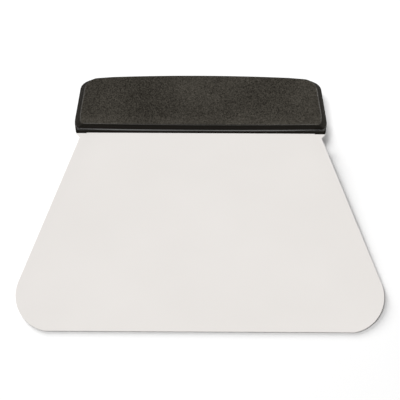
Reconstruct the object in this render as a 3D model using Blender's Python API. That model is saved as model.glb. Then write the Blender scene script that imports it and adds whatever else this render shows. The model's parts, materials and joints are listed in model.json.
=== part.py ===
"""Dough scraper: a stainless steel blade held in a handle of two moulded shells.

The scraper is drawn flat, with the blade in the XY plane, the cutting edge on y = 0 and the
handle at +Y. At the end the whole model is tipped about X and moved, so that it lies on z = 0
as it does on a worktop: on its cutting edge and on the handle's lower front edge.
"""

import math

import bmesh
import bpy
from mathutils import Matrix, Vector

# Blade
BLADE_WIDTH = 0.160
BLADE_HEIGHT = 0.0911
BLADE_THICKNESS = 0.0010
CORNER_RADIUS = 0.0165
CORNER_CENTRE_HEIGHT = 0.0162
NECK_INSET = 0.0019
FLARE_ANGLE = math.radians(45)
TANG_CORNER_RADIUS = 0.0040

# Handle outline, seen from the front
HANDLE_LENGTH = 0.1153
HANDLE_DEPTH = 0.0270
WIDEST_FROM_FRONT = 0.0053
END_TAPER = math.radians(7.2)
TOE_IN = math.radians(9)
KNEE_RADIUS = 0.0120
BACK_BOW = 0.00145
BACK_FALL = 0.0004
BACK_FALL_LENGTH = 0.0120
BACK_FALL_RADIUS = 0.0400
BACK_CORNER_RADIUS = 0.0043
FACE_CORNER_RADIUS = 0.0070
FRONT_CORNER_RADIUS = 0.0020
FRONT_BOW = 0.0005

# Handle section
HANDLE_THICKNESS = 0.0150
END_DRAFT = math.radians(23.5)
BACK_DRAFT = math.radians(12)
FACE_FILLET = 0.0007
WALL = 0.0022
RIB_THICKNESS = 0.0014
RIB_PITCH = 0.0115

# Lip round the blade's way out of the handle
LIP_HEIGHT = 0.0016
LIP_PROUD = 0.00085
LIP_SLOPE_RISE = 0.0003
LIP_ROUND = 0.0004
LIP_CORNER_RADIUS = 0.0010

# Pins that lock the blade in the handle
PIN_DIAMETER = 0.0040
PIN_CHAMFER = 0.0004
PINS_ON_RIB = 3
BOSS_WALL = 0.0020

# Clearances, and how far a cutter reaches past what it cuts
GAP = 0.0003
TANG_TO_END_WALL = 0.0020
TANG_TO_BACK_WALL = 0.0060
OVERCUT = 0.0010

# Fineness of the round stretches
CORNER_STEPS = 6
BOW_STEPS = 12
FRONT_STEPS = 8
BLADE_ARC_STEPS = 20
FILLET_STEPS = 4
PIN_SIDES = 32
SHARP_ANGLE = math.radians(30)

HALF_BLADE = BLADE_THICKNESS / 2
HALF_HANDLE = HANDLE_THICKNESS / 2
LIP_TOP = HALF_BLADE + LIP_HEIGHT
LIP_FRONT = BLADE_HEIGHT + GAP
WIDEST_Y = LIP_FRONT + WIDEST_FROM_FRONT
BACK_Y = LIP_FRONT + HANDLE_DEPTH
ROOF = HALF_HANDLE - WALL
TANG_END = BACK_Y - BACK_BOW - WALL - TANG_TO_BACK_WALL
PIN_Y = (BLADE_HEIGHT + TANG_END) / 2
PIN_SPACING = PINS_ON_RIB * RIB_PITCH
SOCKET_RADIUS = PIN_DIAMETER / 2 + GAP


def end_at(y, inset=0.0):
    """Half the handle's length at y: it tapers to the back and toes in to the front."""
    slope = END_TAPER if y > WIDEST_Y else TOE_IN
    return HANDLE_LENGTH / 2 - inset - abs(y - WIDEST_Y) * math.tan(slope)


TANG_HALF_WIDTH = end_at(TANG_END, WALL + TANG_TO_END_WALL)
SHOULDER_HALF_WIDTH = end_at(LIP_FRONT)


def arc(centre, radius, start, end, steps):
    """Points of an arc from angle start to angle end, both ends included."""
    angles = [start + (end - start) * k / steps for k in range(steps + 1)]
    return [(centre[0] + radius * math.cos(a), centre[1] + radius * math.sin(a)) for a in angles]


def rounded(corners, steps):
    """A closed outline from (x, y, radius) corners, with each corner turned into an arc.

    An arc takes up to half of each straight side that it meets.
    """
    points = []
    for k, (x, y, radius) in enumerate(corners):
        here = Vector((x, y))
        if radius == 0:
            points.append((x, y))
            continue
        before = Vector(corners[k - 1][:2]) - here
        after = Vector(corners[(k + 1) % len(corners)][:2]) - here
        half_angle = before.angle(after) / 2
        room = min(before.length, after.length) / 2
        reach = min(radius / math.tan(half_angle), room)
        radius = reach * math.tan(half_angle)
        first = here + before.normalized() * reach
        last = here + after.normalized() * reach
        towards = (before.normalized() + after.normalized()).normalized()
        centre = here + towards * radius / math.sin(half_angle)
        start = math.atan2(first.y - centre.y, first.x - centre.x)
        end = math.atan2(last.y - centre.y, last.x - centre.x)
        turn = math.remainder(end - start, math.tau)
        points += arc(centre, radius, start, start + turn, steps)
    return points


def handle_outline(height, front, front_radius, front_bow, inset=0.0):
    """The handle's outline at a height above the joint between its shells.

    The ends and the back lean in with height, and inset draws every side in by as much again.
    The back corners get rounder from the joint to the face.
    The front falls back by front_bow from its middle to its corners. The back is a shallow bow
    too, and it falls away a little more on the last stretch to a corner.
    """
    ends = height * math.tan(END_DRAFT) + inset
    back = height * math.tan(BACK_DRAFT) + inset
    front_y = front + inset
    front_x = end_at(front_y + front_bow, ends)
    shares = [2 * k / FRONT_STEPS - 1 for k in range(1, FRONT_STEPS)]
    front_side = [(share * front_x, front_y + front_bow * share**2, 0) for share in shares]
    corner_y = BACK_Y - BACK_BOW - BACK_FALL - back
    corner_x = end_at(corner_y, ends)
    rounder = (FACE_CORNER_RADIUS - BACK_CORNER_RADIUS) * height / HALF_HANDLE
    corner_radius = BACK_CORNER_RADIUS + rounder - inset
    right = [
        (front_x, front_y + front_bow, front_radius),
        (end_at(WIDEST_Y, ends), WIDEST_Y, KNEE_RADIUS),
        (corner_x, corner_y, corner_radius),
    ]
    bow_radius = (corner_x**2 + BACK_BOW**2) / (2 * BACK_BOW)
    bow_angle = math.asin((corner_x - BACK_FALL_LENGTH) / bow_radius)
    bow_centre = (0.0, BACK_Y - back - bow_radius)
    quarter = math.pi / 2
    bow = arc(bow_centre, bow_radius, quarter - bow_angle, quarter + bow_angle, BOW_STEPS)
    bow = [(x, y, BACK_FALL_RADIUS if k in (0, BOW_STEPS) else 0) for k, (x, y) in enumerate(bow)]
    left = [(-x, y, radius) for x, y, radius in reversed(right)]
    return rounded(right + bow + left + front_side, CORNER_STEPS)


def new_object(name, bm, material=None):
    """Links a mesh object made from bm, and frees bm."""
    bmesh.ops.recalc_face_normals(bm, faces=bm.faces)
    mesh = bpy.data.meshes.new(name)
    bm.to_mesh(mesh)
    bm.free()
    made = bpy.data.objects.new(name, mesh)
    bpy.context.collection.objects.link(made)
    if material:
        mesh.materials.append(material)
    return made


def add_ring(bm, points, z):
    """A closed ring of edges through points at height z."""
    verts = [bm.verts.new((x, y, z)) for x, y in points]
    return [bm.edges.new((a, b)) for a, b in zip(verts, verts[1:] + verts[:1])]


def loft(levels):
    """A closed body through (points, z) levels, with a flat face at each end."""
    bm = bmesh.new()
    rings = [add_ring(bm, points, z) for points, z in levels]
    for lower, upper in zip(rings, rings[1:]):
        bmesh.ops.bridge_loops(bm, edges=lower + upper)
    for ring in (rings[0], rings[-1]):
        bmesh.ops.contextual_create(bm, geom=ring)
    return bm


def add_box(bm, low, high):
    """A box between two corners."""
    size = Vector(high) - Vector(low)
    centre = (Vector(high) + Vector(low)) / 2
    bmesh.ops.create_cube(bm, size=1.0, matrix=Matrix.Translation(centre) @ Matrix.Diagonal((*size, 1)))


def add_cylinder(bm, x, y, radius, low, high):
    """An upright cylinder."""
    bmesh.ops.create_cone(
        bm,
        cap_ends=True,
        segments=PIN_SIDES,
        radius1=radius,
        radius2=radius,
        depth=high - low,
        matrix=Matrix.Translation((x, y, (low + high) / 2)),
    )


def as_cutter(cutter, parent=None):
    """Marks an object as a tool that shapes another, and isn't a piece itself."""
    cutter.hide_render = True
    cutter.display_type = "WIRE"
    cutter.parent = parent
    return cutter


def cut(piece, cutter):
    """Takes the cutter's shape out of the piece."""
    boolean = piece.modifiers.new("cut " + cutter.name, "BOOLEAN")
    boolean.operation = "DIFFERENCE"
    boolean.solver = "EXACT"
    boolean.object = cutter


def shade_round(piece):
    """Smooth shading, with edges past the sharp angle kept sharp."""
    piece.data.shade_smooth()
    piece.data.set_sharp_from_angle(angle=SHARP_ANGLE)


def plain_material(name, colour, roughness, metallic):
    made = bpy.data.materials.new(name)
    made.use_nodes = True
    shader = made.node_tree.nodes["Principled BSDF"]
    shader.inputs["Base Color"].default_value = (*colour, 1.0)
    shader.inputs["Roughness"].default_value = roughness
    shader.inputs["Metallic"].default_value = metallic
    return made


def blade_outline():
    """Right half: round corner, straight leaning side, neck, flared shoulder and tang."""
    centre = Vector((BLADE_WIDTH / 2 - CORNER_RADIUS, CORNER_CENTRE_HEIGHT))
    neck_x = SHOULDER_HALF_WIDTH - NECK_INSET
    neck = Vector((neck_x, BLADE_HEIGHT - NECK_INSET / math.tan(FLARE_ANGLE)))
    to_neck = neck - centre
    side_tangent = math.atan2(to_neck.y, to_neck.x) - math.acos(CORNER_RADIUS / to_neck.length)
    edge_crossing = -math.asin(CORNER_CENTRE_HEIGHT / CORNER_RADIUS)
    corner = arc(centre, CORNER_RADIUS, edge_crossing, side_tangent, BLADE_ARC_STEPS)
    right = [(x, y, 0) for x, y in corner]
    right += [
        (neck.x, neck.y, 0),
        (SHOULDER_HALF_WIDTH, BLADE_HEIGHT, 0),
        (TANG_HALF_WIDTH, BLADE_HEIGHT, 0),
        (TANG_HALF_WIDTH, TANG_END, TANG_CORNER_RADIUS),
    ]
    left = [(-x, y, radius) for x, y, radius in reversed(right)]
    return rounded(right + left, CORNER_STEPS)


def pin_places():
    return {"left": -PIN_SPACING, "centre": 0.0, "right": PIN_SPACING}


def make_blade(material):
    """Flat sheet, one piece from the cutting edge to the tang, with a hole for each pin."""
    outline = blade_outline()
    blade = new_object("blade", loft([(outline, -HALF_BLADE), (outline, HALF_BLADE)]), material)
    holes = bmesh.new()
    for x in pin_places().values():
        add_cylinder(holes, x, PIN_Y, SOCKET_RADIUS, -HALF_BLADE - OVERCUT, HALF_BLADE + OVERCUT)
    cut(blade, as_cutter(new_object("tang_holes", holes), blade))
    shade_round(blade)
    return blade


def shell_levels():
    """The outside of a shell, from the joint up: lip, leaning walls, and a fillet to the face."""
    body_front = LIP_FRONT + LIP_PROUD
    lip_edge = LIP_TOP - LIP_SLOPE_RISE
    levels = [(handle_outline(GAP / 2, LIP_FRONT, LIP_CORNER_RADIUS, 0.0), GAP / 2)]
    for k in range(FILLET_STEPS + 1):
        angle = math.pi / 2 * k / FILLET_STEPS
        z = lip_edge - LIP_ROUND * (1 - math.sin(angle))
        front = LIP_FRONT + LIP_ROUND * (1 - math.cos(angle))
        levels.append((handle_outline(z, front, LIP_CORNER_RADIUS, 0.0), z))
    levels.append((handle_outline(LIP_TOP, body_front, FRONT_CORNER_RADIUS, FRONT_BOW), LIP_TOP))
    base = HALF_HANDLE - FACE_FILLET
    for k in range(FILLET_STEPS + 1):
        angle = math.pi / 2 * k / FILLET_STEPS
        z = base + FACE_FILLET * math.sin(angle)
        inset = FACE_FILLET * (1 - math.cos(angle))
        levels.append((handle_outline(base, body_front, FRONT_CORNER_RADIUS, FRONT_BOW, inset), z))
    return levels


def make_cavity(name, parent):
    """The space inside a shell, with its ribs and pin bosses left standing."""
    inner_front = LIP_FRONT + LIP_PROUD
    rim = handle_outline(0, inner_front, FRONT_CORNER_RADIUS, FRONT_BOW, WALL)
    roof = handle_outline(ROOF, inner_front, FRONT_CORNER_RADIUS, FRONT_BOW, WALL)
    cavity = new_object(name + "_cavity", loft([(rim, -OVERCUT), (roof, ROOF)]))
    rib_bottom = HALF_BLADE + GAP
    rib_top = HALF_HANDLE
    inner_half = end_at(WIDEST_Y, WALL)
    cross_ribs = bmesh.new()
    rib_count = int(inner_half // RIB_PITCH)
    for k in range(-rib_count, rib_count + 1):
        x = k * RIB_PITCH
        low = (x - RIB_THICKNESS / 2, inner_front, rib_bottom)
        add_box(cross_ribs, low, (x + RIB_THICKNESS / 2, BACK_Y, rib_top))
    cut(cavity, as_cutter(new_object(name + "_cross_ribs", cross_ribs), parent))
    long_rib = bmesh.new()
    low = (-HANDLE_LENGTH / 2, PIN_Y - RIB_THICKNESS / 2, rib_bottom)
    add_box(long_rib, low, (HANDLE_LENGTH / 2, PIN_Y + RIB_THICKNESS / 2, rib_top))
    cut(cavity, as_cutter(new_object(name + "_long_rib", long_rib), parent))
    bosses = bmesh.new()
    for x in pin_places().values():
        add_cylinder(bosses, x, PIN_Y, SOCKET_RADIUS + BOSS_WALL, rib_bottom, rib_top)
    cut(cavity, as_cutter(new_object(name + "_bosses", bosses), parent))
    return as_cutter(cavity, parent)


def make_shell(name, material, turn):
    """Half of the handle, open at the joint. turn is its angle about the handle's long way."""
    shell = new_object(name, loft(shell_levels()), material)
    cut(shell, make_cavity(name, shell))
    slot = bmesh.new()
    side = TANG_HALF_WIDTH + GAP
    low = (-side, LIP_FRONT - OVERCUT, -HALF_BLADE - GAP)
    add_box(slot, low, (side, TANG_END + GAP, HALF_BLADE + GAP))
    cut(shell, as_cutter(new_object(name + "_tang_slot", slot), shell))
    sockets = bmesh.new()
    for x in pin_places().values():
        add_cylinder(sockets, x, PIN_Y, SOCKET_RADIUS, -OVERCUT, ROOF)
    cut(shell, as_cutter(new_object(name + "_sockets", sockets), shell))
    shell.rotation_euler.y = turn
    shade_round(shell)
    return shell


def make_pins(material):
    """Steel dowels through the tang, each end in a blind socket of one shell."""
    half_length = ROOF - GAP
    pins = []
    for side, x in pin_places().items():
        bm = bmesh.new()
        add_cylinder(bm, 0.0, 0.0, PIN_DIAMETER / 2, -half_length, half_length)
        rims = [e for e in bm.edges if abs(e.verts[0].co.z - e.verts[1].co.z) < GAP]
        bmesh.ops.bevel(
            bm, geom=rims, offset=PIN_CHAMFER, affect="EDGES", segments=1, profile=0.5, material=-1
        )
        pin = new_object("tang_pin_" + side, bm, material)
        pin.location = (x, PIN_Y, 0.0)
        shade_round(pin)
        pins.append(pin)
    return pins


def lay_down(pieces):
    """Tips the scraper until its cutting edge and the handle's lower front edge lie on z = 0."""
    fillet = Vector((LIP_FRONT + LIP_PROUD + FACE_FILLET, FACE_FILLET - HALF_HANDLE))
    from_edge = fillet - Vector((0.0, -HALF_BLADE))
    tip = math.asin(FACE_FILLET / from_edge.length) - math.atan2(from_edge.y, from_edge.x)
    rest = bpy.data.objects.new("resting_place", None)
    bpy.context.collection.objects.link(rest)
    rest.rotation_euler.x = tip
    front = -HALF_BLADE * math.sin(tip)
    back = BACK_Y * math.cos(tip) + GAP / 2 * math.sin(tip)
    rest.location = (0.0, -(front + back) / 2, HALF_BLADE * math.cos(tip))
    for piece in pieces:
        piece.parent = rest


def main():
    for old in list(bpy.data.objects):
        bpy.data.objects.remove(old)
    steel = plain_material("satin_stainless", (0.80, 0.78, 0.76), 0.35, 1.0)
    pin_steel = plain_material("pin_steel", (0.62, 0.62, 0.63), 0.30, 1.0)
    front_plastic = plain_material("front_black_plastic", (0.040, 0.037, 0.030), 0.55, 0.0)
    rear_plastic = plain_material("rear_black_plastic", (0.036, 0.033, 0.028), 0.55, 0.0)
    blade = make_blade(steel)
    front_shell = make_shell("front_shell", front_plastic, 0.0)
    rear_shell = make_shell("rear_shell", rear_plastic, math.pi)
    lay_down([blade, front_shell, rear_shell, *make_pins(pin_steel)])


main()
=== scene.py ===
# %% [markdown]
# # A dough scraper, dressed cell by cell
#
# The object is a kitchen tool: a flat sheet of stainless steel in a handle of black plastic. Its solids
# come packed, at their real size, and this script gives them their looks. It rebuilds the blade and the
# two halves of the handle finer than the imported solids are, keeps the three steel pins, which are sealed
# inside, and gives each piece a finish made of shader nodes.
#
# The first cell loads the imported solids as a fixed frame. Everything below is in metres, in that frame.

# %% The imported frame
import json
import math

import bmesh
import bpy
from mathutils import Matrix, Vector


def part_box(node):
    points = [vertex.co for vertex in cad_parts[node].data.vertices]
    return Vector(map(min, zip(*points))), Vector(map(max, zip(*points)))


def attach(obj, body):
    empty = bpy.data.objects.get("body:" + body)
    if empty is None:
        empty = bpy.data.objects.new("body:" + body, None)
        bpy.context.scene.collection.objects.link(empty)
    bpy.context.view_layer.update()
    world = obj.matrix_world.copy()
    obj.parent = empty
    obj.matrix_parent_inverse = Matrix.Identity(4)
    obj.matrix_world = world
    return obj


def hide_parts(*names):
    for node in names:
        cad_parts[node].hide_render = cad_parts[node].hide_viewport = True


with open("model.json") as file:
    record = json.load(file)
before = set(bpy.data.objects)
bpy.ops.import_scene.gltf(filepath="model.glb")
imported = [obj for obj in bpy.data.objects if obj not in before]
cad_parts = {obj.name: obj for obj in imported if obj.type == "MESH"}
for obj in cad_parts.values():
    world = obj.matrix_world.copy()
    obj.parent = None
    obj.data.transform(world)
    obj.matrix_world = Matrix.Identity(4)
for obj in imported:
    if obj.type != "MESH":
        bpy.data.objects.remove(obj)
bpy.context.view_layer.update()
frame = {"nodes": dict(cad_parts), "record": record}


def mm(length):
    """A length in metres, written in millimetres."""
    return f"{1000 * length:.2f} mm"


print("packed nodes:", sorted(frame["nodes"]))

# %% [markdown]
# ## Sizes
#
# The sizes are the ones that the solids were made with, so that a rebuilt piece fills the space of the
# node it stands for. They are written for the scraper as a drawing shows it: flat, with the blade in the
# XY plane, the cutting edge on y = 0 and the handle at +Y. The prints set the main ones against the packed
# solids. The handle comes out a little shorter than it is drawn, because its widest place is rounded.

# %% Sizes of the blade
BLADE_WIDTH = 0.160
BLADE_HEIGHT = 0.0911
BLADE_THICKNESS = 0.0010
CORNER_RADIUS = 0.0165
CORNER_CENTRE_HEIGHT = 0.0162
NECK_INSET = 0.0019
TANG_CORNER_RADIUS = 0.0040
GAP = 0.0003

HALF_BLADE = BLADE_THICKNESS / 2

low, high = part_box("blade")
print(f"blade: {mm(BLADE_WIDTH)} wide, packed {mm(high.x - low.x)}")

# %% Sizes of the handle
HANDLE_LENGTH = 0.1153
HANDLE_DEPTH = 0.0270
HANDLE_THICKNESS = 0.0150
WIDEST_FROM_FRONT = 0.0053
END_TAPER = math.radians(7.2)
TOE_IN = math.radians(9)
KNEE_RADIUS = 0.0120
BACK_BOW = 0.00145
BACK_FALL = 0.0004
BACK_FALL_LENGTH = 0.0120
BACK_FALL_RADIUS = 0.0400
BACK_CORNER_RADIUS = 0.0043
FACE_CORNER_RADIUS = 0.0070
FRONT_CORNER_RADIUS = 0.0020
FRONT_BOW = 0.0005
END_DRAFT = math.radians(23.5)
BACK_DRAFT = math.radians(12)
FACE_FILLET = 0.0007
WALL = 0.0022

HALF_HANDLE = HANDLE_THICKNESS / 2
LIP_FRONT = BLADE_HEIGHT + GAP
WIDEST_Y = LIP_FRONT + WIDEST_FROM_FRONT
BACK_Y = LIP_FRONT + HANDLE_DEPTH

low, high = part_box("front_shell")
print(f"handle: drawn {mm(HANDLE_LENGTH)} long, packed {mm(high.x - low.x)}")

# %% [markdown]
# ## How the scraper lies
#
# A scraper that is put down rests on its cutting edge and on the handle's lower front edge, so the whole
# tool is tipped by a few degrees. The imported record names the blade's front face as a place to fasten the
# tool by, with a point and a direction. Those two give the turn and the shift from the flat drawing to
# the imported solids, so no angle has to be copied by hand.

# %% From the drawing to the worktop
face = next(m for m in frame["record"]["mounts"] if m["name"] == "blade_front_face")
tip = math.atan2(-face["axis"][1], face["axis"][2])
turned = Matrix.Rotation(tip, 4, "X")
shift = Vector(face["pos_m"]) - turned @ Vector((0.0, BLADE_HEIGHT / 2, HALF_BLADE))
LAID_DOWN = Matrix.Translation(shift) @ turned
print(f"the scraper is tipped by {math.degrees(tip):.2f} degrees")

# %% [markdown]
# ## A pen for outlines
#
# Both the blade and the handle are symmetric outlines with round corners. Typing in their points would
# hide what they are. Here a pen draws the right half with two operators: extruding its last vertex gives
# a straight run, and spinning it gives an arc. Mirroring the half gives the closed ring.

# %% The pen
MERGE = 1e-7


class Pen:
    """Draws the right half of an outline at one height, from the middle line and back to it."""

    def __init__(self, mesh, x, y, z):
        self.mesh = mesh
        self.older = set(mesh.edges)
        self.tip = mesh.verts.new((x, y, z))

    def line(self, x, y):
        """A straight run to (x, y)."""
        run = bmesh.ops.extrude_vert_indiv(self.mesh, verts=[self.tip])
        self.tip = run["verts"][0]
        step = Vector((x, y, self.tip.co.z)) - self.tip.co
        bmesh.ops.translate(self.mesh, verts=[self.tip], vec=step)

    def arc(self, x, y, angle, steps):
        """An arc round (x, y). A positive angle turns to the left."""
        swept = bmesh.ops.spin(
            self.mesh,
            geom=[self.tip],
            cent=(x, y, self.tip.co.z),
            axis=(0.0, 0.0, 1.0),
            angle=angle,
            steps=steps,
        )
        self.tip = next(v for v in swept["geom_last"] if isinstance(v, bmesh.types.BMVert))

    def corner(self, before, corner, after, radius, steps):
        """Runs towards a corner of two straight sides, and rounds it."""
        here = Vector(corner)
        came = Vector(before) - here
        goes = Vector(after) - here
        half = came.angle(goes) / 2
        reach = min(radius / math.tan(half), came.length / 2, goes.length / 2)
        first = here + came.normalized() * reach
        middle = (came.normalized() + goes.normalized()).normalized()
        centre = here + middle * reach / math.cos(half)
        self.line(*first)
        self.arc(*centre, math.copysign(math.pi - 2 * half, goes.cross(came)), steps)

    def mirrored(self):
        """Adds the left half, and returns the edges of the whole ring."""
        half = [e for e in self.mesh.edges if e not in self.older]
        verts = list({v for e in half for v in e.verts})
        bmesh.ops.mirror(
            self.mesh, geom=verts + half, matrix=Matrix.Identity(4), merge_dist=MERGE, axis="X"
        )
        return [e for e in self.mesh.edges if e not in self.older]


print("the pen draws with extrude_vert_indiv, spin and mirror")

# %% [markdown]
# ## From a bmesh to a piece
#
# Every piece ends the same way. Its doubles are merged and its faces turned outwards, it is laid down
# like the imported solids, and it becomes an object at the origin with its place in its mesh. Round
# stretches are shaded smooth, and real edges stay sharp.

# %% Finishing a mesh
SHARP = math.radians(25)


def to_object(mesh, name):
    """Closes up a bmesh and makes it a named object."""
    bmesh.ops.remove_doubles(mesh, verts=mesh.verts, dist=MERGE)
    bmesh.ops.recalc_face_normals(mesh, faces=mesh.faces)
    data = bpy.data.meshes.new(name)
    mesh.to_mesh(data)
    mesh.free()
    made = bpy.data.objects.new(name, data)
    bpy.context.scene.collection.objects.link(made)
    return made


def carve(piece, tool):
    """Takes the tool's shape out of the piece for good, and throws the tool away."""
    cut = piece.modifiers.new("cut", "BOOLEAN")
    cut.operation = "DIFFERENCE"
    cut.solver = "EXACT"
    cut.object = tool
    shaped = piece.evaluated_get(bpy.context.evaluated_depsgraph_get())
    data = bpy.data.meshes.new_from_object(shaped)
    piece.modifiers.clear()
    piece.data = data
    bpy.data.objects.remove(tool)


def settle(piece, node):
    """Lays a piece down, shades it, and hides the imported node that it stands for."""
    piece.data.transform(LAID_DOWN)
    piece.data.shade_smooth()
    piece.data.set_sharp_from_angle(angle=SHARP)
    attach(piece, "root")
    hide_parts(node)
    print(f"{piece.name}: {len(piece.data.polygons)} faces")


print(f"edges of more than {math.degrees(SHARP):.0f} degrees stay sharp")

# %% [markdown]
# ## The blade
#
# The real blade is one sheet, stamped out with its tang and three holes, and then tumbled so that no edge
# cuts the hand. It could be a cube cut by planes, but an outline that is filled and extruded is nearer to
# the stamping. A bevel of less than a tenth of a millimetre then breaks both rims. It is far too small to
# see as a shape, and it still matters, because it is what catches a thin line of light along the edge.

# %% The blade's outline
FLARE_ANGLE = math.radians(45)
TANG_TO_END_WALL = 0.0020
TANG_TO_BACK_WALL = 0.0060
BLADE_ARC_STEPS = 48
TANG_ARC_STEPS = 8


def half_length_at(y, inset=0.0):
    """Half the handle's length at y: it tapers to the back and toes in to the front."""
    slope = END_TAPER if y > WIDEST_Y else TOE_IN
    return HANDLE_LENGTH / 2 - inset - abs(y - WIDEST_Y) * math.tan(slope)


TANG_END = BACK_Y - BACK_BOW - WALL - TANG_TO_BACK_WALL
TANG_HALF_WIDTH = half_length_at(TANG_END, WALL + TANG_TO_END_WALL)
SHOULDER_HALF_WIDTH = half_length_at(LIP_FRONT)


def blade_ring(mesh):
    """Cutting edge, round corner, leaning side, neck, flared shoulder and tang."""
    centre = Vector((BLADE_WIDTH / 2 - CORNER_RADIUS, CORNER_CENTRE_HEIGHT))
    neck = Vector((SHOULDER_HALF_WIDTH - NECK_INSET, BLADE_HEIGHT - NECK_INSET / math.tan(FLARE_ANGLE)))
    to_neck = neck - centre
    side_starts = math.atan2(to_neck.y, to_neck.x) - math.acos(CORNER_RADIUS / to_neck.length)
    edge_ends = -math.asin(CORNER_CENTRE_HEIGHT / CORNER_RADIUS)
    pen = Pen(mesh, 0.0, 0.0, -HALF_BLADE)
    pen.line(centre.x + CORNER_RADIUS * math.cos(edge_ends), 0.0)
    pen.arc(*centre, side_starts - edge_ends, BLADE_ARC_STEPS)
    pen.line(*neck)
    pen.line(SHOULDER_HALF_WIDTH, BLADE_HEIGHT)
    pen.line(TANG_HALF_WIDTH, BLADE_HEIGHT)
    pen.corner(
        (TANG_HALF_WIDTH, BLADE_HEIGHT),
        (TANG_HALF_WIDTH, TANG_END),
        (0.0, TANG_END),
        TANG_CORNER_RADIUS,
        TANG_ARC_STEPS,
    )
    pen.line(0.0, TANG_END)
    return pen.mirrored()


print(f"the sheet is {mm(TANG_END)} high with its tang")

# %% The sheet, with its rims broken
RIM_BREAK = 0.00008
RIM_SEGMENTS = 3

sheet = bmesh.new()
bmesh.ops.contextual_create(sheet, geom=blade_ring(sheet))
stamped = bmesh.ops.extrude_face_region(sheet, geom=sheet.faces[:])
risen = [v for v in stamped["geom"] if isinstance(v, bmesh.types.BMVert)]
bmesh.ops.translate(sheet, verts=risen, vec=(0.0, 0.0, BLADE_THICKNESS))
rims = [e for e in sheet.edges if abs(e.verts[0].co.z - e.verts[1].co.z) < HALF_BLADE]
bmesh.ops.bevel(
    sheet,
    geom=rims,
    offset=RIM_BREAK,
    affect="EDGES",
    segments=RIM_SEGMENTS,
    profile=0.5,
    material=-1,
)
blade = to_object(sheet, "blade_sheet")
print(f"the sheet has {len(blade.data.polygons)} faces before its holes")

# %% [markdown]
# ## Pins, holes and sockets
#
# Three steel pins cross the tang and end in blind sockets of the two shells. They are out of sight, and
# they are what keeps the blade from pulling out, so their holes are cut here too. A helper makes a row of
# upright cylinders, which serves as the drill for the tang and for the shells, and as the bosses.

# %% A row of cylinders
PIN_DIAMETER = 0.0040
RIB_PITCH = 0.0115
PINS_ON_RIB = 3
BOSS_WALL = 0.0020
OVERCUT = 0.0010
ROUND_SEGMENTS = 48

PIN_Y = (BLADE_HEIGHT + TANG_END) / 2
PIN_PLACES = [step * PINS_ON_RIB * RIB_PITCH for step in (-1, 0, 1)]
SOCKET_RADIUS = PIN_DIAMETER / 2 + GAP


def cylinder_row(name, radius, low_z, high_z):
    """An upright cylinder at each pin's place."""
    mesh = bmesh.new()
    for x in PIN_PLACES:
        bmesh.ops.create_cone(
            mesh,
            cap_ends=True,
            segments=ROUND_SEGMENTS,
            radius1=radius,
            radius2=radius,
            depth=high_z - low_z,
            matrix=Matrix.Translation((x, PIN_Y, (low_z + high_z) / 2)),
        )
    return to_object(mesh, name)


carve(blade, cylinder_row("drill", SOCKET_RADIUS, -HALF_BLADE - OVERCUT, HALF_BLADE + OVERCUT))
settle(blade, "blade")

# %% [markdown]
# ## The handle's outline
#
# Seen from the front, the handle is widest just behind its front. From there its ends taper to the back
# and toe in a little to the front. Its back is a shallow bow that falls away a little more before each
# corner, and above the lip its front is bowed too, by half a millimetre.
#
# The ends and the back also lean in with height, as a moulding's walls must to leave the mould, and the
# back corners get rounder. The ends lean more and more, by a power of the height: a power of 1 would be a
# flat wall, and this one stands out from it by less than half a millimetre, so that the back corners turn
# softly.
#
# A bevelled box would be quicker to make, but its corners couldn't get rounder with height. So one
# function draws the ring at any height, and a shell is lofted through some of them.

# %% A ring of the handle
CORNER_STEPS = 14
BOW_STEPS = 16
BOW_JOIN = 0.007
FRONT_STEPS = 8
END_SWELL = 1.5
FACE_BASE = HALF_HANDLE - FACE_FILLET


def handle_ring(mesh, z, height, front, front_radius, front_bow, inset=0.0):
    """The ring at z, with the lean that the walls have at a height above the joint."""
    ends = FACE_BASE * math.tan(END_DRAFT) * (height / FACE_BASE) ** END_SWELL + inset
    back = height * math.tan(BACK_DRAFT) + inset
    front_y = front + inset
    front_x = half_length_at(front_y + front_bow, ends)
    shares = [k / FRONT_STEPS for k in range(FRONT_STEPS + 1)]
    front_side = [(share * front_x, front_y + front_bow * share**2) for share in shares]
    corner_y = BACK_Y - back - BACK_BOW - BACK_FALL
    corner_x = half_length_at(corner_y, ends)
    bow_radius = (corner_x**2 + BACK_BOW**2) / (2 * BACK_BOW)
    bow_ends = math.asin((corner_x - BACK_FALL_LENGTH) / bow_radius)
    bow_starts = bow_ends - BOW_JOIN / bow_radius
    bow_y = BACK_Y - back - bow_radius
    sides = [
        front_side[-2],
        front_side[-1],
        (half_length_at(WIDEST_Y, ends), WIDEST_Y),
        (corner_x, corner_y),
        (bow_radius * math.sin(bow_ends), bow_y + bow_radius * math.cos(bow_ends)),
        (bow_radius * math.sin(bow_starts), bow_y + bow_radius * math.cos(bow_starts)),
    ]
    rounder = (FACE_CORNER_RADIUS - BACK_CORNER_RADIUS) * height / HALF_HANDLE
    corner_radius = BACK_CORNER_RADIUS + rounder - inset
    radii = [front_radius, KNEE_RADIUS, corner_radius, BACK_FALL_RADIUS]
    pen = Pen(mesh, *front_side[0], z)
    for point in front_side[1:-1]:
        pen.line(*point)
    for before, corner, after, radius in zip(sides, sides[1:], sides[2:], radii):
        pen.corner(before, corner, after, radius, CORNER_STEPS)
    pen.line(*sides[-1])
    pen.arc(0.0, bow_y, bow_starts, BOW_STEPS)
    return pen.mirrored()


def loft(mesh, rings):
    """Closes the rings of a bmesh, in order, into a body with a flat face at each end."""
    for lower, upper in zip(rings, rings[1:]):
        bmesh.ops.bridge_loops(mesh, edges=lower + upper)
    for ring in (rings[0], rings[-1]):
        bmesh.ops.contextual_create(mesh, geom=ring)
    return mesh


print(f"the ends lean in by {mm(FACE_BASE * math.tan(END_DRAFT))} from the joint to the face")

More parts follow.
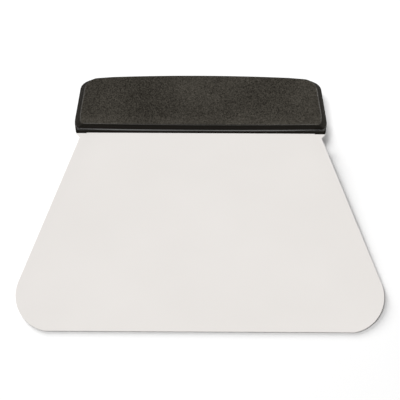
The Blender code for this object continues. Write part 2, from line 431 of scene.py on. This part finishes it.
# %% [markdown]
# ## The outside of a shell
#
# From the joint up, a shell has a lip round the blade's way out, a small step back to the front wall, the
# leaning ends and back, and a fillet to the face. A thin border on either side of the fillet keeps its
# smooth shading from bleeding into the wall and the large flat face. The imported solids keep 0.3 mm between
# two pieces, and here the lip comes down over most of it, as it does on the real tool.

# %% The outside of a shell
LIP_HEIGHT = 0.0016
LIP_PROUD = 0.00085
LIP_SLOPE_RISE = 0.0003
LIP_ROUND = 0.0006
LIP_CLOSES = 0.0002
LIP_CORNER_RADIUS = 0.0010
FILLET_STEPS = 8
WALL_STEPS = 6
BORDER = 0.0002

LIP_TOP = HALF_BLADE + LIP_HEIGHT
BODY_FRONT = LIP_FRONT + LIP_PROUD
ROOF = HALF_HANDLE - WALL


def quarter_turn(steps):
    """Sine and cosine at even steps of a quarter turn."""
    angles = [math.pi / 2 * k / steps for k in range(steps + 1)]
    return [(math.sin(a), math.cos(a)) for a in angles]


def lip_ring(mesh, z, set_back=0.0):
    """A ring of the lip, set back where the lip is rounded."""
    front = LIP_FRONT - LIP_CLOSES + set_back
    return handle_ring(mesh, z, z, front, LIP_CORNER_RADIUS, 0.0)


def wall_ring(mesh, z, height, inset=0.0):
    """A ring of the walls, of the fillet over them, or of the hollow inside them."""
    return handle_ring(mesh, z, height, BODY_FRONT, FRONT_CORNER_RADIUS, FRONT_BOW, inset)


def shell_outside():
    """A bmesh of one shell, filled solid."""
    mesh = bmesh.new()
    rings = [lip_ring(mesh, GAP / 2)]
    for sine, cosine in quarter_turn(FILLET_STEPS):
        z = LIP_TOP - LIP_SLOPE_RISE - LIP_ROUND * (1 - sine)
        rings.append(lip_ring(mesh, z, LIP_ROUND * (1 - cosine)))
    wall_height = FACE_BASE - BORDER - LIP_TOP
    for step in range(WALL_STEPS + 1):
        z = LIP_TOP + wall_height * step / WALL_STEPS
        rings.append(wall_ring(mesh, z, z))
    for sine, cosine in quarter_turn(FILLET_STEPS):
        z = FACE_BASE + FACE_FILLET * sine
        rings.append(wall_ring(mesh, z, FACE_BASE, FACE_FILLET * (1 - cosine)))
    rings.append(wall_ring(mesh, HALF_HANDLE, FACE_BASE, FACE_FILLET + BORDER))
    return loft(mesh, rings)


print(f"the lip stands {mm(LIP_PROUD + LIP_CLOSES)} proud of the front wall")

# %% [markdown]
# ## The inside of a shell
#
# A moulding is hollow, because thick plastic sinks and warps as it cools. Ribs across and one along keep
# the thin walls stiff, and a boss round each socket takes the pin. The hollow is made as a body of its
# own: ribs and bosses are carved out of it first, so that they are left standing when it is carved out of
# the shell.

# %% The inside of a shell
RIB_THICKNESS = 0.0014


def box(mesh, low_corner, high_corner):
    """A box between two corners."""
    size = Vector(high_corner) - Vector(low_corner)
    middle = (Vector(high_corner) + Vector(low_corner)) / 2
    place = Matrix.Translation(middle) @ Matrix.Diagonal((*size, 1.0))
    bmesh.ops.create_cube(mesh, size=1.0, matrix=place)


def shell_hollow():
    """The space inside a shell, less its ribs and bosses."""
    mesh = bmesh.new()
    lit_rim = wall_ring(mesh, -OVERCUT, 0.0, WALL)
    roof = wall_ring(mesh, ROOF, ROOF, WALL)
    hollow = to_object(loft(mesh, [lit_rim, roof]), "hollow")
    rib_bottom = HALF_BLADE + GAP
    half_rib = RIB_THICKNESS / 2
    ribs = bmesh.new()
    count = int(half_length_at(WIDEST_Y, WALL) // RIB_PITCH)
    for k in range(-count, count + 1):
        x = k * RIB_PITCH
        box(ribs, (x - half_rib, BODY_FRONT, rib_bottom), (x + half_rib, BACK_Y, HALF_HANDLE))
    carve(hollow, to_object(ribs, "ribs_across"))
    spine = bmesh.new()
    half_length = HANDLE_LENGTH / 2
    box(spine, (-half_length, PIN_Y - half_rib, rib_bottom), (half_length, PIN_Y + half_rib, HALF_HANDLE))
    carve(hollow, to_object(spine, "rib_along"))
    carve(hollow, cylinder_row("bosses", SOCKET_RADIUS + BOSS_WALL, rib_bottom, HALF_HANDLE))
    return hollow


print(f"the ribs are {mm(RIB_THICKNESS)} thick and {mm(RIB_PITCH)} apart")

# %% [markdown]
# ## Both shells
#
# The rear shell is the front one turned half round about the handle's long way, which is also how such a
# handle is made: one mould gives both halves.

# %% Both shells
def shell(name, node, turn):
    """One half of the handle, with its hollow, the tang's slot and the pins' sockets."""
    piece = to_object(shell_outside(), name)
    carve(piece, shell_hollow())
    slot_half_width = TANG_HALF_WIDTH + GAP
    slot_half_height = HALF_BLADE + GAP
    tang_slot = bmesh.new()
    box(
        tang_slot,
        (-slot_half_width, LIP_FRONT - OVERCUT, -slot_half_height),
        (slot_half_width, TANG_END + GAP, slot_half_height),
    )
    carve(piece, to_object(tang_slot, "tang_slot"))
    carve(piece, cylinder_row("sockets", SOCKET_RADIUS, -OVERCUT, ROOF))
    piece.data.transform(Matrix.Rotation(turn, 4, "Y"))
    settle(piece, node)
    return piece


front_half = shell("handle_front_half", "front_shell", 0.0)
rear_half = shell("handle_rear_half", "rear_shell", math.pi)

# %% [markdown]
# ## Sums on sockets
#
# A finish is made of shader nodes. Node by node it takes many lines to say that a grain is stronger here
# than there. So one small class wraps an output of a node: adding, subtracting or multiplying two wires
# makes the Math node for it. Any other node comes from one method, which takes the kind of node, its
# settings and what its sockets hold.

# %% Wires
class Wire:
    """One output of a node. Sums on wires make Math nodes."""

    def __init__(self, finish, socket):
        self.finish = finish
        self.socket = socket

    def sum(self, operation, first, second):
        """A Math node of two values, either of which may be a plain number."""
        return self.finish.node("ShaderNodeMath", {"operation": operation}, {0: first, 1: second})

    def __add__(self, other):
        return self.sum("ADD", self, other)

    def __sub__(self, other):
        return self.sum("SUBTRACT", self, other)

    def __rsub__(self, other):
        return self.sum("SUBTRACT", other, self)

    def __mul__(self, other):
        return self.sum("MULTIPLY", self, other)

    __radd__ = __add__
    __rmul__ = __mul__


print("wires can be added, subtracted and multiplied")

# %% Finishes
class Finish:
    """A material and its nodes. The constants go on the shader's own sockets."""

    def __init__(self, name, **constants):
        self.material = bpy.data.materials.new(name)
        self.material.use_nodes = True
        self.tree = self.material.node_tree
        self.shader = self.tree.nodes["Principled BSDF"]
        for socket, value in constants.items():
            self.shader.inputs[socket.replace("_", " ")].default_value = value

    def node(self, kind, settings, sockets, output=0):
        """Any node: its settings first, then the values or wires of its sockets."""
        made = self.tree.nodes.new(kind)
        for name, value in settings.items():
            if name == "stops":
                self.set_stops(made.color_ramp, value)
            else:
                setattr(made, name, value)
        for name, value in sockets.items():
            if isinstance(value, Wire):
                self.tree.links.new(value.socket, made.inputs[name])
            else:
                made.inputs[name].default_value = value
        return Wire(self, made.outputs[output])

    def set_stops(self, ramp, stops):
        """A colour ramp's stops, each a position and a colour."""
        for spare in list(ramp.elements)[1:]:
            ramp.elements.remove(spare)
        position, colour = stops[0]
        ramp.elements[0].position = position
        ramp.elements[0].color = (*colour, 1.0)
        for position, colour in stops[1:]:
            ramp.elements.new(position).color = (*colour, 1.0)

    def feed(self, socket, wire):
        """Leads a wire to the shader."""
        self.tree.links.new(wire.socket, self.shader.inputs[socket])


print("a finish starts from the shader that Blender gives a new material")

# %% [markdown]
# ## Coordinates, noise and masks
#
# Every pattern reads the place of a point in its object. A Mapping node undoes the few degrees that the
# scraper is tipped by, so that a pattern can be written for the flat drawing: x across the blade, y up
# from the cutting edge, z out of the face. The helpers below are the ones that the finishes share.

# %% Coordinates, noise and masks
DRAWING = LAID_DOWN.inverted()


def drawing_place(finish):
    """Where a point is in the flat drawing."""
    place = finish.node("ShaderNodeTexCoord", {}, {}, "Object")
    mapping = {"Vector": place, "Location": DRAWING.translation, "Rotation": (-tip, 0.0, 0.0)}
    return finish.node("ShaderNodeMapping", {"vector_type": "POINT"}, mapping)


def along(finish, place, axis):
    """One coordinate of a place: X, Y or Z."""
    return finish.node("ShaderNodeSeparateXYZ", {}, {"Vector": place}, axis)


def noise(finish, place, features_per_metre, detail, roughness=0.5):
    """Soft noise from 0 to 1, with its own scale on each axis."""
    scaled = finish.node("ShaderNodeMapping", {}, {"Vector": place, "Scale": features_per_metre})
    sockets = {"Vector": scaled, "Scale": 1.0, "Detail": detail, "Roughness": roughness}
    return finish.node("ShaderNodeTexNoise", {}, sockets, "Fac")


def fade(finish, value, full, gone):
    """A mask: 1 on one value's side, and smoothly down to 0 at the other value."""
    sockets = {"Value": value, "From Min": full, "From Max": gone, "To Min": 1.0, "To Max": 0.0}
    return finish.node("ShaderNodeMapRange", {"interpolation_type": "SMOOTHSTEP"}, sockets)


def band(finish, value, lowest, highest, fade_below, fade_above):
    """A mask: 1 between two values, and smoothly down to 0 past each of them."""
    below_top = fade(finish, value, highest, highest + fade_above)
    return below_top * fade(finish, value, lowest, lowest - fade_below)


def shades(finish, value, stops):
    """A colour that goes through the stops as the value rises."""
    return finish.node("ShaderNodeValToRGB", {"stops": stops}, {"Fac": value}, "Color")


def relief(finish, height, depth, strength):
    """Turns a height from 0 to 1 into small bumps that are depth metres tall."""
    bump = finish.node("ShaderNodeBump", {}, {"Height": height, "Distance": depth, "Strength": strength})
    finish.feed("Normal", bump)


print("patterns are turned back by", round(math.degrees(tip), 2), "degrees")

# %% [markdown]
# ## Satin steel
#
# The blade is stainless sheet with a fine satin finish. It is even enough to mirror a soft light as a
# flat pale grey, which is what most of the picture shows. Close up, the finish is very fine lines across
# the blade, broad clouds where it is a little duller, and a band at the cutting edge that scraping has
# burnished. A painted grey would look right from one side only, so the steel is a true metal: its
# brightness comes from what it mirrors.

# %% Satin steel
# A pattern's scale is the number of its features in a metre, along x, y and z.
BRUSH_LINES = (60.0, 9000.0, 9000.0)
CLOUDS = (22.0, 30.0, 30.0)
SCUFFS = (400.0, 40.0, 40.0)
STEEL_DULL = (0.800, 0.772, 0.745)
STEEL_BRIGHT = (0.830, 0.802, 0.776)
BURNISHED_UP_TO = 0.001
BURNISH_ENDS = 0.009
LINE_DEPTH = 0.000004


def satin_steel():
    """Stainless sheet: fine lines, broad clouds and a burnished cutting edge."""
    finish = Finish("satin_stainless_sheet", Metallic=1.0)
    place = drawing_place(finish)
    lines = noise(finish, place, BRUSH_LINES, detail=3.0)
    clouds = noise(finish, place, CLOUDS, detail=2.0)
    scuffs = noise(finish, place, SCUFFS, detail=3.0, roughness=0.6)
    burnished = fade(finish, along(finish, place, "Y"), BURNISHED_UP_TO, BURNISH_ENDS)
    finish.feed("Base Color", shades(finish, clouds, [(0.25, STEEL_DULL), (0.75, STEEL_BRIGHT)]))
    finish.feed("Roughness", 0.28 + 0.03 * clouds + 0.04 * lines - burnished * (0.01 + 0.02 * scuffs))
    relief(finish, lines, LINE_DEPTH, strength=0.25)
    return finish.material


STEEL = satin_steel()
blade.data.materials.clear()
blade.data.materials.append(STEEL)
print("the blade's finish:", STEEL.name)

# %% [markdown]
# ## Black plastic
#
# The handle is moulded in black plastic, a little brown. Its mould was spark-eroded, which leaves a fine
# grain of rounded pits on the two faces. The grain scatters light, so a face looks charcoal, a little
# lighter in soft patches. A face is also painted lighter towards the front, which is painted light. The
# walls round a face are smoother and darker: partly the deeper black of smoother plastic, partly painted
# shade. The front wall and the lip, where the mould closes on the blade, are polished and darker still,
# which is painted shade as well as the plastic's own black.
#
# A picture of the grain would blur close up, so it is mixed from a coarser and a finer noise. The mix
# gives both the colour and the bumps: the pits get a painted shade and the rims a painted highlight, and
# the highest rims a painted glint. A thin coat stands for gloss. There is a trace of it on the walls,
# more along the rim of a face, where a hand rubs, and all of it on the ledge of the lip. Both halves get
# this finish, the rear one a shade darker.

# %% Where the plastic is smooth, painted darker, or glossy
MASK_EDGE = 0.0003
RUB_FROM = HALF_HANDLE - 0.00030
RUB_TO = HALF_HANDLE - 0.00006
LEDGE_FROM = LIP_TOP - 0.00015
LEDGE_TO = LIP_TOP + 0.00005
LEDGE_REACH = BODY_FRONT + 0.0018
LEDGE_GONE = BODY_FRONT + 0.0022


def smooth_shade_and_gloss(finish, height, y):
    """Two masks: how smooth the plastic is, which also paints shade on the walls, and how much gloss lies on
    it.
    """
    walls = fade(finish, height, HALF_HANDLE - 2 * MASK_EDGE, HALF_HANDLE - MASK_EDGE)
    front = fade(finish, y, BODY_FRONT + FRONT_BOW, BODY_FRONT + FRONT_BOW + MASK_EDGE)
    rubbed = band(finish, height, RUB_FROM, RUB_TO, fade_below=0.00015, fade_above=0.00005)
    ledge = band(finish, height, LEDGE_FROM, LEDGE_TO, fade_below=0.00013, fade_above=0.00010)
    ledge = ledge * fade(finish, y, LEDGE_REACH, LEDGE_GONE)
    # This mask makes the walls smoother and also paints shade on them: the colour darkens most on the front
    # wall.
    smooth_and_shaded = 0.45 * walls + 0.55 * front
    gloss = ledge + 0.45 * rubbed + 0.062 * walls
    return smooth_and_shaded, gloss


print(f"the gloss of the ledge ends {mm(LEDGE_GONE - BODY_FRONT)} behind the front wall")

# %% Black plastic
GRAIN = (1400.0, 1400.0, 1400.0)
PITS = (3000.0, 3000.0, 3000.0)
HAZE = (45.0, 45.0, 45.0)
# Painted light: from here to the front of a face its colour is painted lighter.
FRONT_LIGHT_FULL_TO = BODY_FRONT + 0.001
FRONT_LIGHT_ENDS = BODY_FRONT + 0.007
GRAIN_DEPTH = 0.00005
BODY_BLACK = (0.0100, 0.0080, 0.0052)
# Painted shade and highlight: a pit's colour is painted darker and a rim's lighter than the plastic's own.
FRONT_SHADED_PIT = (0.015, 0.0133, 0.0106)
FRONT_LIT_RIM = (0.066, 0.0602, 0.0500)
REAR_SHADED_PIT = (0.014, 0.0125, 0.0100)
REAR_LIT_RIM = (0.060, 0.0550, 0.0462)


def black_plastic(name, shaded_pit, lit_rim):
    """Spark-eroded black plastic, with painted shade in its pits and painted highlights on their rims."""
    finish = Finish(name, Specular_IOR_Level=0.0, Coat_Roughness=0.16, Coat_IOR=1.5)
    place = drawing_place(finish)
    y = along(finish, place, "Y")
    height = finish.node("ShaderNodeMath", {"operation": "ABSOLUTE"}, {0: along(finish, place, "Z")})
    smooth_and_shaded, gloss = smooth_shade_and_gloss(finish, height, y)
    grain = noise(finish, place, GRAIN, detail=3.0, roughness=0.7)
    pits = noise(finish, place, PITS, detail=1.0)
    haze = noise(finish, place, HAZE, detail=1.0)
    speckle = grain * 0.5 + pits * 0.5
    # Painted light: the face's colour gets lighter towards the front.
    painted_front_light = fade(finish, y, FRONT_LIGHT_FULL_TO, FRONT_LIGHT_ENDS)
    # The smooth mask darkens the colour of the walls and the front: painted shade besides the deeper black
    # of smooth plastic.
    level = (speckle + 0.16 * haze - 0.08 + 0.04 * painted_front_light) * (1 - 0.62 * smooth_and_shaded)
    # A painted glint: the highest rims are painted brighter still.
    painted_glint = [1.7 * part for part in lit_rim]
    stops = [(0.150, BODY_BLACK), (0.365, shaded_pit), (0.600, lit_rim), (0.750, painted_glint)]
    finish.feed("Base Color", shades(finish, level, stops))
    finish.feed("Roughness", 0.52 + 0.10 * grain + 0.06 * haze - 0.16 * smooth_and_shaded)
    finish.feed("Coat Weight", gloss)
    relief(finish, speckle * (1 - 0.8 * smooth_and_shaded), GRAIN_DEPTH, strength=0.6)
    return finish.material


FRONT_BLACK = black_plastic("front_black_plastic_grain", FRONT_SHADED_PIT, FRONT_LIT_RIM)
REAR_BLACK = black_plastic("rear_black_plastic_grain", REAR_SHADED_PIT, REAR_LIT_RIM)
for half, plastic in ((front_half, FRONT_BLACK), (rear_half, REAR_BLACK)):
    half.data.materials.clear()
    half.data.materials.append(plastic)
    print(half.name, "is made of", plastic.name)

# %% [markdown]
# ## Ground pins
#
# The pins are standard ground dowels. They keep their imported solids, which are already round and
# chamfered, and get a steel with the fine rings that grinding leaves round them.

# %% Ground pins
GRINDING_RINGS = (200.0, 200.0, 12000.0)
DOWEL_DARK = (0.58, 0.58, 0.59)
DOWEL_LIGHT = (0.66, 0.66, 0.67)
RING_DEPTH = 0.000003


def ground_steel():
    """Ground steel, with fine rings round the dowel."""
    finish = Finish("ground_steel_dowel", Metallic=1.0)
    rings = noise(finish, drawing_place(finish), GRINDING_RINGS, detail=3.0)
    finish.feed("Base Color", shades(finish, rings, [(0.3, DOWEL_DARK), (0.7, DOWEL_LIGHT)]))
    finish.feed("Roughness", 0.22 + 0.12 * rings)
    relief(finish, rings, RING_DEPTH, strength=0.4)
    return finish.material


DOWEL = ground_steel()
for where in ("left", "centre", "right"):
    pin = frame["nodes"]["tang_pin_" + where]
    for slot in pin.material_slots:
        slot.material = DOWEL
    print(pin.name, "is made of", DOWEL.name)

# %% [markdown]
# ## The floor
#
# The scraper lies on a plain pale floor. A product photographer lights such a floor from below as well, so
# that it is white in the picture and only the contact shadows are left. Here the floor gives a little
# light of its own instead.

# %% The floor
FLOOR_SIZE = 4.0

sweep = bmesh.new()
bmesh.ops.create_grid(sweep, x_segments=1, y_segments=1, size=FLOOR_SIZE / 2)
floor_mesh = bpy.data.meshes.new("floor")
sweep.to_mesh(floor_mesh)
sweep.free()
floor = bpy.data.objects.new("floor", floor_mesh)
bpy.context.scene.collection.objects.link(floor)

pale = Finish(
    "pale_floor",
    Base_Color=(0.90, 0.90, 0.90, 1.0),
    Roughness=0.9,
    Specular_IOR_Level=0.1,
    Emission_Color=(1.0, 1.0, 1.0, 1.0),
    Emission_Strength=0.08,
)
floor_mesh.materials.append(pale.material)
print("the floor is", FLOOR_SIZE, "m wide")

# %% [markdown]
# ## Softboxes
#
# Steel and black plastic are lit by what they mirror, and a floor by what falls on it, so one set of lamps
# can't suit all three. A photographer keeps a lamp off a shiny sheet with black cards. Blender does it with
# light linking: a lamp can be given the only objects that it reaches, and the only ones that shade it.

# %% Softboxes
def softbox(name, brightness, size, place, target=(0.0, 0.0, 0.0)):
    """A rectangular lamp of some width and height, that faces its target."""
    width, height = size
    lamp = bpy.data.lights.new(name, "AREA")
    lamp.shape = "RECTANGLE"
    lamp.size = width
    lamp.size_y = height
    lamp.energy = brightness * math.pi * width * height
    stand = bpy.data.objects.new(name, lamp)
    bpy.context.scene.collection.objects.link(stand)
    towards = Vector(target) - Vector(place)
    facing = towards.to_track_quat("-Z", "Y").to_matrix().to_4x4()
    stand.matrix_world = Matrix.Translation(place) @ facing
    stand.visible_camera = False
    print(f"{name}: {lamp.energy:.1f} W")
    return stand


def group(name, *objects):
    """A collection that only lamps use."""
    made = bpy.data.collections.new(name)
    for one in objects:
        made.objects.link(one)
    return made


def keep_to(lamps, reached, shading=None):
    """Lets lamps reach one group only. A group may also be the only one that shades them."""
    for stand in lamps:
        stand.light_linking.receiver_collection = reached
        stand.light_linking.blocker_collection = shading


STEEL_ONLY = group("steel_only", blade)
HANDLE_ONLY = group("handle_only", front_half, rear_half)
FLOOR_ONLY = group("floor_only", floor)
print("groups for the lamps:", [one.name for one in (STEEL_ONLY, HANDLE_ONLY, FLOOR_ONLY)])

# %% [markdown]
# ## Lamps for the steel
#
# In the picture the steel is one flat pale grey, with no reflection of the handle. A broad softbox
# overhead, which only the blade sees and the handle doesn't shade, gives that grey, and the handle is
# hidden from reflections. Four more softboxes stand round it like the walls of a light tent. From the
# front they hardly count, but from the side they are what keeps the steel from turning black.

# %% Lamps for the steel
TENT_BRIGHTNESS = 0.62
TENT_WALL = (3.0, 1.5)
TENT_REACH = 1.6
TENT_HEIGHT = 0.85
TENT_MIDDLE_Y = 0.05

steel_lamps = [
    softbox("blade_softbox", 0.98, size=(2.4, 2.0), place=(0.0, 0.14, 1.2), target=(0.0, 0.14, 0.0)),
]
for name, x, y in (("front", 0, -1), ("back", 0, 1), ("left", -1, 0), ("right", 1, 0)):
    place = (TENT_REACH * x, TENT_MIDDLE_Y + TENT_REACH * y, TENT_HEIGHT)
    target = (0.0, TENT_MIDDLE_Y, TENT_HEIGHT)
    steel_lamps.append(softbox("tent_" + name, TENT_BRIGHTNESS, TENT_WALL, place, target))
keep_to(steel_lamps, STEEL_ONLY, STEEL_ONLY)

for half in (front_half, rear_half):
    half.visible_glossy = False

# %% [markdown]
# ## Lamps for the handle
#
# A softbox overhead and behind fills the handle's face, and one on each side lights its ends. In front it
# is dark, which leaves the front wall nearly black, apart from a small softbox that the ledge of the lip
# mirrors as a bright line.

# %% Lamps for the handle
HANDLE_FRONT = (0.0, 0.033, 0.010)

handle_lamps = [
    softbox("overhead", 1.39, size=(2.0, 1.25), place=(0.2, 0.40, 1.2), target=(0.2, 0.40, 0.0)),
    softbox("left_side", 5.0, size=(0.6, 0.6), place=(-1.20, 0.60, 0.70)),
    softbox("right_side", 6.5, size=(0.6, 0.6), place=(1.20, 0.60, 0.70)),
    softbox("lip_strip", 3.4, size=(0.70, 0.62), place=(0.0, -0.55, 0.82), target=HANDLE_FRONT),
]
keep_to(handle_lamps, HANDLE_ONLY)

# %% [markdown]
# ## Lamps for the floor
#
# These lamps stand at the upper left, and throw the contact shadow to the right and towards the viewer. The
# steeper a lamp, the narrower its shadow, so four of them make a shadow that is dark at the edge and
# fades away. The two low ones would throw too wide a shadow of the thick handle, so only the blade shades
# them.

# %% Lamps for the floor
FLOOR_LAMP = (0.7, 0.7)

high_lamps = [
    softbox("floor_steep", 15.0, size=FLOOR_LAMP, place=(-0.70, 0.05, 2.50)),
    softbox("floor_slant", 9.2, size=FLOOR_LAMP, place=(-1.00, 0.45, 2.35)),
]
low_lamps = [
    softbox("floor_low", 31.0, size=FLOOR_LAMP, place=(-1.40, 2.08, 0.87)),
    softbox("floor_middle", 23.0, size=FLOOR_LAMP, place=(-1.35, 1.64, 1.59)),
]
keep_to(high_lamps, FLOOR_ONLY)
keep_to(low_lamps, FLOOR_ONLY, STEEL_ONLY)

# %% [markdown]
# ## The room
#
# A dim, slightly warm room keeps the darkest places from being empty. The view transform is the plain
# one, so that a white floor comes out white.

# %% The room
ROOM_TINT = (1.0, 0.98, 0.96, 1.0)
ROOM_STRENGTH = 0.05

studio = bpy.data.worlds.new("studio")
studio.use_nodes = True
background = studio.node_tree.nodes["Background"]
background.inputs["Color"].default_value = ROOM_TINT
background.inputs["Strength"].default_value = ROOM_STRENGTH
bpy.context.scene.world = studio
bpy.context.scene.view_settings.view_transform = "Standard"
print("the room's brightness:", ROOM_STRENGTH)

# %% [markdown]
# ## The camera
#
# The camera stands over the cutting edge and looks down at the face at 72 degrees. It was fitted to the
# outline in the photograph, and is given in the flat drawing, so it is laid down with the scraper.

# %% The camera
ELEVATION = math.radians(72)
ROLL = math.radians(0.302)
DISTANCE = 0.49103
AIM = Vector((-0.000146, 0.05955, 0.0))
FOCAL_LENGTH = 99.0
SENSOR = 36.0
NEAREST = 0.01

back = Vector((0.0, -math.cos(ELEVATION), math.sin(ELEVATION)))
right = Vector((1.0, 0.0, 0.0))
up = back.cross(right)
lens = bpy.data.cameras.new("camera")
lens.lens = FOCAL_LENGTH
lens.sensor_width = SENSOR
lens.clip_start = NEAREST
camera = bpy.data.objects.new("camera", lens)
bpy.context.scene.collection.objects.link(camera)
turn = Matrix((right, up, back)).transposed() @ Matrix.Rotation(ROLL, 3, "Z")
camera.matrix_world = LAID_DOWN @ Matrix.Translation(AIM + back * DISTANCE) @ turn.to_4x4()
bpy.context.scene.camera = camera
print("camera at", [round(v, 3) for v in camera.matrix_world.translation])
